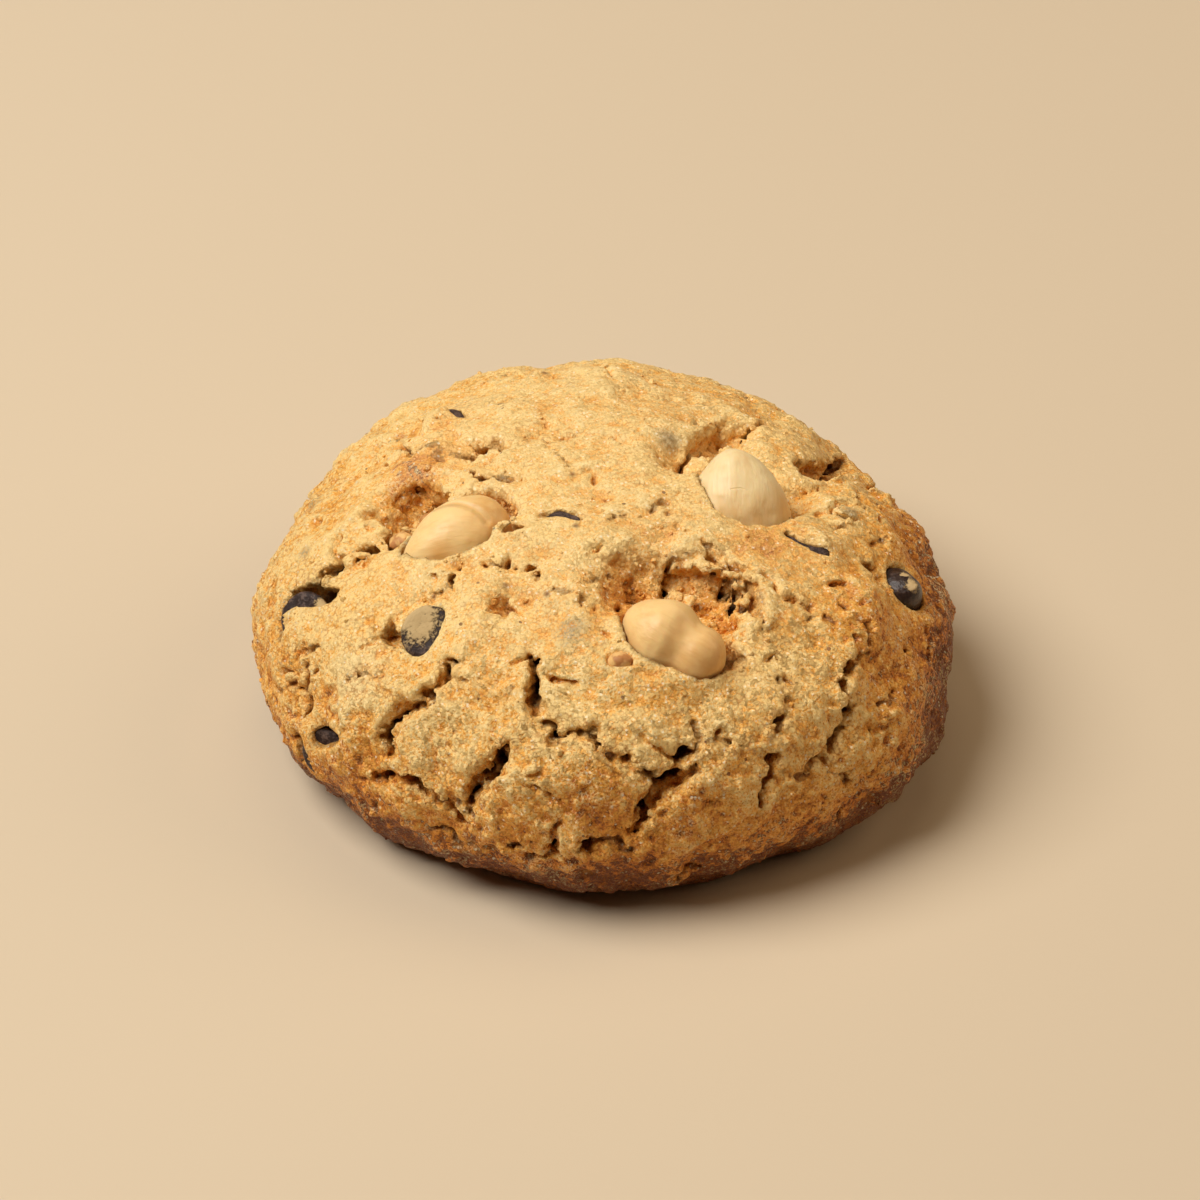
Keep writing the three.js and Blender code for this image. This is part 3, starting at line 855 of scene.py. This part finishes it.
# Each patch has a pixel, a reach and how much browner it is painted, or paler below 0. Most are toast.
# Those in the hollows by the front and left nuts are painted shade, and the paler one below the front
# nut is painted light.
TOAST_SHADE_AND_LIGHT_SPOTS = {
    (580, 778): (7.0, 0.2), (755, 548): (6.0, 0.2), (684, 806): (6.0, 0.2), (415, 468): (7.0, 0.8),
    (645, 530): (5.0, 0.2), (330, 700): (5.0, 0.2), (880, 640): (8.0, 0.2), (600, 812): (7.0, 0.2),
    (400, 550): (3.0, 0.2), (775, 535): (8.0, 0.45), (635, 600): (7.0, 0.75), (715, 600): (6.0, 0.75),
    (850, 600): (7.0, 0.5), (404, 497): (4.5, 0.7), (450, 740): (8.0, -0.2), (560, 720): (8.0, -0.2),
    (345, 670): (5.0, -0.3), (775, 670): (8.0, -0.25), (705, 672): (6.0, -0.25),
}
SMEARS = {(571, 632): 3.2, (668, 440): 2.6, (313, 503): 2.4, (850, 512): 2.4, (305, 553): 1.6}
CREAM_PLATE = (355, 675)
CREAM_REACH = 6.0
# The numbers that the shape tree kept at each point.
KEPT = ["depth", "torn", "slit", "deep", "fine", "nut"]
MARK_REACH = 0.7
MARKS = [(545, 372), (500, 403), (770, 738), (573, 473), (576, 525), (547, 594), (506, 585)]


def attribute(recipe, name):
    """A number that the shape tree kept at each point."""
    return recipe.node("ShaderNodeAttribute", {"attribute_name": name}, {}, "Fac")


def object_place(recipe):
    """The point's place in the object, in metres."""
    return recipe.node("ShaderNodeTexCoord", {}, {}, "Object")


def plug(field, shader, name):
    """Feeds a field to one of a shader's sockets."""
    field.recipe.tree.links.new(field.socket, shader.inputs[name])


def bump(recipe, height, shader):
    """Tilts the surface as a relief of this height, in metres, would."""
    plug(recipe.node("ShaderNodeBump", {}, {"Height": height, "Distance": 1.0}, "Normal"), shader, "Normal")


def dough_finish():
    material, recipe, shader = new_material("baked_dough")
    place = object_place(recipe)
    blend, step, most, noise = recipe.blend, recipe.step, recipe.most, recipe.noise
    depth, torn, slit, deep, fine, nut = (attribute(recipe, name) for name in KEPT)
    height = recipe.apart(place)[2]

    def spot(pixel, reach):
        """1 at a pixel of the photo, falling to 0 at this reach in millimetres."""
        return recipe.near(place, seen("dough", *pixel), reach * MM)

    # Sandy grain: crystals of two sizes, each with its own chance shade, and finer sand between.
    sand = noise(place, SAND_SIZE, 2.0, 0.7)
    sugar = recipe.cells(place, CRYSTAL_SIZE)
    sugar_luck = recipe.apart(sugar.beside("Color"))[0]
    clump = recipe.cells(place, CLUMP_SIZE)
    clump_luck = recipe.apart(clump.beside("Color"))[0]
    calm = step(height, *CALM_CROWN)
    patch = noise(place, 5.0 * MM, 2.0)

    # How toasted it is, from 0 to 1. The foot is browned by the tray and also painted darker as painted
    # shade; the right rim and the front right are painted darker as painted shade, on the side away from
    # the light.
    front = step(recipe.vector("DOT_PRODUCT", place, SHADED_FRONT_RIGHT), 0.0, 42.0 * MM)
    foot = step(height, *FOOT_TOAST_AND_SHADE)
    toast = step(height, 28.0 * MM, -4.0 * MM) * 0.78 + 0.11 + 0.08 * front
    toast = toast + 0.75 * foot + 0.70 * step(recipe.apart(place)[0], *SHADED_RIGHT_RIM)
    for pixel, (reach, share) in TOAST_SHADE_AND_LIGHT_SPOTS.items():
        toast = toast + share * spot(pixel, reach)
    # Painted light and shade: points that stand out are paler, and dips are browner.
    toast = toast - 1.3 * fine - 0.25 * depth
    toast = toast + 0.75 * (noise(place, 9.0 * MM, 3.0) - 0.5)
    toast = toast + 0.45 * (noise(place, 2.2 * MM, 3.0, 0.6) - 0.5)
    toast = toast + 0.42 * (sugar_luck - 0.5) + 0.26 * (clump_luck - 0.5) - 1.1 * (sand - 0.5)
    stops = [(0.0, PALE_CRUST), (0.38, GOLDEN_CRUST), (0.80, BROWN_CRUST), (1.05, DEEP_CRUST)]
    shade = recipe.node("ShaderNodeValToRGB", {"stops": stops}, {"Fac": toast}, "Color")

    # The crown and one plate are creamy. Torn crumb is golden. Raised sand is painted pale, as painted
    # light. Between grains, in cracks, in low spots and next to the nuts it is painted dark, as painted
    # shade.
    cream = 0.18 * step(height, *CREAMY_CROWN) + 0.4 * spot(CREAM_PLATE, CREAM_REACH)
    shade = blend(cream, shade, GRAIN_COLOUR)
    shade = blend(torn * 0.45, shade, CRUMB_COLOUR)
    pale = step(sand + 0.5 * (patch - 0.5) + 0.25 * (sugar_luck - 0.5), 0.55, 0.70)
    shade = blend((0.5 - 0.4 * foot) * pale, shade, GRAIN_COLOUR)
    # Some crystals are painted near white: sugar, and partly painted glints.
    sugar_and_glint = step(sugar_luck, 0.90, 0.95) * step(sugar, 0.42, 0.30)
    shade = blend((0.65 - 0.45 * foot) * sugar_and_glint, shade, SUGAR_AND_GLINT_COLOUR)
    between = step(sugar, 0.52, 0.80) * step(patch, 0.62, 0.40)
    between = most(between, step(sand, 0.44, 0.30))
    shade = blend((0.66 - 0.3 * calm) * between, shade, BETWEEN_GRAINS_SHADE)
    ragged = slit + 0.5 * (noise(place, 0.4 * MM, 2.0, 0.6) - 0.5)
    # Painted shade: cracks, deep places, the dough next to a nut and low spots are darkened towards near
    # black.
    dark = most(0.45 * step(ragged, 0.0, 0.2), 0.88 * step(deep, 0.5, 2.2))
    dark = most(dark, 0.55 * step(nut, 0.8, 0.1))
    shade = blend(most(dark, 0.65 * step(depth, -0.4, -1.0)), shade, CREVICE_SHADE_COLOUR)

    # Grey smears where a chip lies just under the skin, and single dark marks.
    patchy = step(sand + patch, 0.75, 1.15)
    for pixel, reach in SMEARS.items():
        smear = spot(pixel, reach) * patchy
        shade = blend(0.65 * smear, shade, SMEAR_COLOUR)
    for pixel in MARKS:
        shade = blend(0.8 * spot(pixel, MARK_REACH), shade, SPECK_COLOUR)

    # Specks of nut skin.
    specks = recipe.cells(place, SPECK_SPACING)
    pick, width, _ = recipe.apart(specks.beside("Color"))
    speck = recipe.math("GREATER_THAN", pick, 0.78) * recipe.math("LESS_THAN", specks, 0.03 + 0.09 * width)
    shade = blend(0.75 * speck, shade, SPECK_COLOUR)
    plug(shade, shader, "Base Color")

    # Grain too fine for the mesh: each crystal is a small facet with its own tilt.
    from_middle = recipe.vector("SUBTRACT", place, sugar.beside("Position"))
    tilt = recipe.vector("SUBTRACT", sugar.beside("Color"), (0.5, 0.5, 0.5))
    facet = recipe.vector("DOT_PRODUCT", from_middle, tilt)
    bump(recipe, facet * (1.15 - 0.4 * calm) + sand * (0.26 - 0.1 * calm) * MM, shader)
    plug(0.40 + 0.3 * sugar_luck, shader, "Roughness")
    shader.inputs["Specular IOR Level"].default_value = 0.5
    return material


# Flat places need few triangles, so only this share of them is kept.
DOUGH_SHARE = 0.32
dough_sizes = {
    "Voxel": VOXEL,
    "Filling": FILLING,
    "Ragged": 1.0,
    "Closing": 0.35 * MM,
    "Nut gap": 1.5 * MM,
    "Chunk": 1.1 * MM,
    "Lip": 0.35 * MM,
    "Crack depth": 1.3 * MM,
    "Pit depth": 0.3 * MM,
    "Skin crumb": 1.0 * MM,
    "Torn crumb": 1.2 * MM,
    "Bed reach": 1.7 * MM,
    "Bed depth": 2.2 * MM,
    "Smear": 0.35 * MM,
    "Broad window": 1.4 * MM,
    "Thin window": 0.45 * MM,
    "Wide tear": 0.52 * MM,
    "Fine tear": 0.46 * MM,
    "Large pocket": 1.2 * MM,
    "Small pocket": 0.75 * MM,
    "Wide depth": 4.5 * MM,
    "Fine depth": 1.3 * MM,
    "Window depth": 1.0 * MM,
    "Nodule": 0.8 * MM,
    "Nodule size": 1.5 * MM,
}
dough_material = dough_finish()
paths = {
    "wide": path_object("wide", WIDE_TEARS),
    "fine": path_object("fine", FINE_TEARS),
    "beds": path_object("beds", BEDS),
    "broad windows": path_object("broad_windows", BROAD_WINDOWS),
    "thin windows": path_object("thin_windows", THIN_WINDOWS),
    "large pockets": path_object("large_pockets", LARGE_POCKETS, joined=False),
    "small pockets": path_object("small_pockets", SMALL_POCKETS, joined=False),
}
dough_rule = dough_tree(dough_material, paths, dough_sizes)
dough = grow("dough_baked", filled.data.copy(), dough_rule, dough_sizes, DOUGH_SHARE)
for path in [filled, *paths.values()]:
    bpy.data.objects.remove(path)
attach(dough, "root")
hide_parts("dough")

# %% [markdown]
# Crumbs cling to the dough, most of all where its crust tore. They are one small lumpy grain, scattered
# over the finished skin by a rule: many on torn crust, few elsewhere, and none inside the slits.
# Each copy gets its own size and turn, and noise then dents them all differently.

# %% Crumbs
CRUMB_SEED = 7
FULL_TURN = 6.28


def crumb_tree(material, sizes):
    tree, recipe, given = geometry_tree("crumbs", sizes)
    place = recipe.node("GeometryNodeInputPosition")
    torn = kept_number(recipe, "torn")
    height = recipe.apart(place)[2]
    clumped = recipe.step(recipe.noise(place, 3.0 * MM), 0.40, 0.62)
    density = given.beside("Per skin area") * (1.0 - torn) + given.beside("Per torn area") * torn
    slit = kept_number(recipe, "slit")
    density = density * clumped * recipe.step(height, 1.0 * MM, 2.0 * MM) * recipe.step(slit, 0.0, -0.3)
    sockets = {"Mesh": given, "Density": density, "Seed": CRUMB_SEED}
    points = recipe.node("GeometryNodeDistributePointsOnFaces", {}, sockets)
    draw = recipe.node("FunctionNodeRandomValue", {"data_type": "FLOAT"}, {2: 0.0, 3: 1.0, "Seed": 1}, 1)
    vectors = {"data_type": "FLOAT_VECTOR"}
    shape = recipe.node("FunctionNodeRandomValue", vectors, {0: (0.7,) * 3, 1: (1.3,) * 3, "Seed": 2})
    turn = recipe.node("FunctionNodeRandomValue", vectors, {1: (FULL_TURN,) * 3, "Seed": 3})
    size = given.beside("Smallest") + (given.beside("Largest") - given.beside("Smallest")) * draw ** 3.0
    grain = recipe.node("GeometryNodeMeshIcoSphere", {}, {"Radius": 1.0, "Subdivisions": 1})
    sockets = {"Points": points, "Instance": grain, "Rotation": turn, "Scale": recipe.scaled(shape, size)}
    spread = recipe.node("GeometryNodeInstanceOnPoints", {}, sockets)
    spread = recipe.node("GeometryNodeRealizeInstances", {}, {0: spread})
    dents = recipe.scaled(wander(recipe, place, 0.5 * MM, 1.0), given.beside("Smallest") * 1.6)
    spread = recipe.node("GeometryNodeSetPosition", {}, {"Geometry": spread, "Offset": dents})
    finish_tree(recipe, spread, material)
    return tree


crumb_sizes = {
    "Per skin area": 0.06 / MM ** 2,
    "Per torn area": 1.8 / MM ** 2,
    "Smallest": 0.12 * MM,
    "Largest": 0.5 * MM,
}
crumbs = grow("crumbs", dough.data.copy(), crumb_tree(dough_material, crumb_sizes), crumb_sizes)
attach(crumbs, "root")

# %% [markdown]
# A blanched hazelnut is a smooth, waxy seed with a blunt base and a small point. Its skin is gone, so
# faint streaks run from point to base. Turned on a lathe, it would come out too even. So the faceted
# solid goes through the same kind of volume with finer cells, and is smoothed until no facet shows.

# %% Hazelnut kernels


def smooth_tree(node, material):
    """A solid redrawn with fine cells, smoothed, and given a slight waviness."""
    tree, recipe, given = geometry_tree(node, ["Voxel", "Smoothing", "Wave", "Wave size"])
    place = recipe.node("GeometryNodeInputPosition")
    gap = signed_gap(recipe, given, place)
    skin = skin_round(recipe, gap, given.beside("Voxel"), node, room=1.0)
    smooth = blurred(recipe, place, given.beside("Smoothing"))
    skin = recipe.node("GeometryNodeSetPosition", {}, {"Geometry": skin, "Position": smooth})
    normal = recipe.node("GeometryNodeInputNormal")
    sockets = {"Vector": place, "Scale": 1.0 / given.beside("Wave size")}
    wave = recipe.node("ShaderNodeTexNoise", {}, sockets)
    moved = recipe.scaled(normal, (wave - 0.5) * given.beside("Wave"))
    skin = recipe.node("GeometryNodeSetPosition", {}, {"Geometry": skin, "Offset": moved})
    skin = recipe.node("GeometryNodeSetShadeSmooth", {}, {0: skin})
    finish_tree(recipe, skin, material)
    return tree


KERNELS = {
    "hazelnut_left": {
        "base": (252, 214, 148),
        "golden": (226, 166, 88),
        "tip": (412, 540),
        "tail": (488, 525),
        "stains": {(496, 528): 3.2, (440, 556): 3.0},
        "crease": [(436, 509), (455, 503), (474, 508), (487, 520)],
        "crease reach": 0.9,
        "crease depth": 0.36,
    },
    "hazelnut_back": {
        "base": (250, 226, 174),
        "golden": (234, 186, 114),
        "tip": (742, 456),
        "tail": (742, 510),
        "stains": {(786, 508): 4.6, (700, 492): 2.0},
        "crease": [(731, 489), (741, 488), (748, 490)],
        "crease reach": 0.15,
        "crease depth": 0.06,
    },
    "hazelnut_front": {
        "base": (250, 210, 144),
        "golden": (222, 166, 94),
        "tip": (645, 620),
        "tail": (705, 655),
        "stains": {(627, 648): 3.4, (712, 668): 3.4},
        "crease": [(684, 622), (676, 638), (668, 656)],
        "crease reach": 1.6,
        "crease depth": 0.15,
    },
}
KERNEL_SIZES = {"Voxel": 0.22 * MM, "Smoothing": 26.0, "Wave": 0.55 * MM, "Wave size": 3.6 * MM}


def kernel_finish(node, facts):
    material, recipe, shader = new_material(node)
    place = object_place(recipe)
    tip, tail = seen(node, *facts["tip"]), seen(node, *facts["tail"])
    axis = tuple((tail - tip).normalized())
    along = recipe.vector("DOT_PRODUCT", place, axis)
    squeezed = recipe.vector("SUBTRACT", place, recipe.scaled(axis, along * 0.88))
    streak = recipe.noise(squeezed, 1.0 * MM, 3.0, 0.6)
    cloud = recipe.noise(place, 4.0 * MM, 2.0)
    fibre = recipe.noise(squeezed, 0.35 * MM, 2.0, 0.6)
    golden = 0.4 * recipe.step(streak * 0.35 + fibre * 0.15 + cloud * 0.5, 0.44, 0.66)
    far_end = along - (tip + tail).dot(Vector(axis)) / 2
    golden = golden + 0.45 * recipe.step(far_end, -1.0 * MM, (tail - tip).length * 0.75)
    for pixel, reach in facts["stains"].items():
        stain = recipe.near(place, seen(node, *pixel), reach * MM)
        golden = recipe.most(golden, stain * (0.55 + 0.6 * streak))
    # The crease is dented, and painted golden along it, partly as painted shade in the crease.
    crease = recipe.to_path(place, [seen(node, *pixel) for pixel in facts["crease"]])
    line = recipe.step(crease, facts["crease reach"] * MM, 0.0)
    golden = recipe.most(golden, 0.4 * line)
    plug(recipe.blend(golden, colour(*facts["base"]), colour(*facts["golden"])), shader, "Base Color")
    dent = line * (facts["crease depth"] * MM)
    bump(recipe, streak * (0.09 * MM) + fibre * (0.04 * MM) - dent, shader)
    shader.inputs["Roughness"].default_value = 0.42
    shader.inputs["Specular IOR Level"].default_value = 0.4
    shader.inputs["Subsurface Weight"].default_value = 0.25
    shader.inputs["Subsurface Radius"].default_value = (1.0, 0.6, 0.3)
    shader.inputs["Subsurface Scale"].default_value = 1.2 * MM
    return material


def add_piece(name, node, tree, sizes):
    """Grows a piece from one CAD node, attaches it to the root body and hides the node."""
    piece = grow(name, merged_copy(node), tree, sizes)
    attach(piece, "root")
    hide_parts(node)
    return piece


for node, facts in KERNELS.items():
    tree = smooth_tree(node, kernel_finish(node, facts))
    add_piece(node + "_kernel", node, tree, KERNEL_SIZES)

# %% [markdown]
# The chips are dark chocolate that melted a little and set again, so their edges are round. Some carry
# a thin film of dough. They could be turned as drops, but each one melted in its own way, so each solid
# goes through the tree that made the kernels, with less smoothing.

# %% Chocolate chips
CHIP_SIZES = {"Voxel": 0.16 * MM, "Smoothing": 8.0, "Wave": 0.3 * MM, "Wave size": 2.0 * MM}
CHOCOLATE = colour(44, 28, 24)
BLOOM = colour(112, 92, 84)
FILM = colour(214, 184, 132)
FILMS = {
    "chip_left": [((322, 604), 1.8)],
    "chip_left_front": [((418, 619), 5.4)],
    "chip_right": [((913, 584), 1.8), ((905, 574), 1.2)],
}
GLOSSY = ["chip_right"]


def chip_finish(node):
    material, recipe, shader = new_material(node)
    place = object_place(recipe)
    cloud = recipe.noise(place, 1.4 * MM, 3.0, 0.6)
    grain = recipe.noise(place, 0.35 * MM, 3.0, 0.7)
    spots = [recipe.near(place, seen(node, *pixel), reach * MM) for pixel, reach in FILMS.get(node, [])]
    film = 1.1 * (cloud - 0.5) + 1.1 * (grain - 0.5)
    if spots:
        film = film + reduce(recipe.most, spots)
    film = recipe.step(film, 0.30, 0.70)
    bloom = recipe.step(cloud + 0.5 * (grain - 0.5), 0.42, 0.70) * (0.35 if node in GLOSSY else 0.75)
    shade = recipe.blend(bloom, CHOCOLATE, BLOOM)
    shade = recipe.blend(film * 0.85, shade, FILM)
    plug(shade, shader, "Base Color")
    plug((0.24 if node in GLOSSY else 0.46) + 0.2 * cloud + 0.3 * film, shader, "Roughness")
    bump(recipe, film * (0.12 * MM) + grain * (0.08 * MM) + cloud * (0.15 * MM), shader)
    shader.inputs["Specular IOR Level"].default_value = 0.5 if node in GLOSSY else 0.3
    return material


for node in CHIPS:
    add_piece(node + "_set", node, smooth_tree(node, chip_finish(node)), CHIP_SIZES)

# %% [markdown]
# Three bits of chopped nut show beside the kernels. A knife left them with cut faces and corners. They
# could be carved from blocks. The same tree does it here, and very little smoothing leaves the corners on.

# %% Nut bits
BIT_SIZES = {"Voxel": 0.14 * MM, "Smoothing": 5.0, "Wave": 0.3 * MM, "Wave size": 1.2 * MM}


def bit_finish():
    material, recipe, shader = new_material("chopped_nut")
    cloud = recipe.noise(object_place(recipe), 1.2 * MM, 2.0)
    shade = recipe.blend(recipe.step(cloud, 0.4, 0.6), colour(236, 190, 120), colour(190, 128, 70))
    plug(shade, shader, "Base Color")
    shader.inputs["Roughness"].default_value = 0.6
    return material


bit_material = bit_finish()
for node in sorted(name for name in nodes if name.startswith("nut_bit")):
    add_piece(node + "_chopped", node, smooth_tree(node, bit_material), BIT_SIZES)
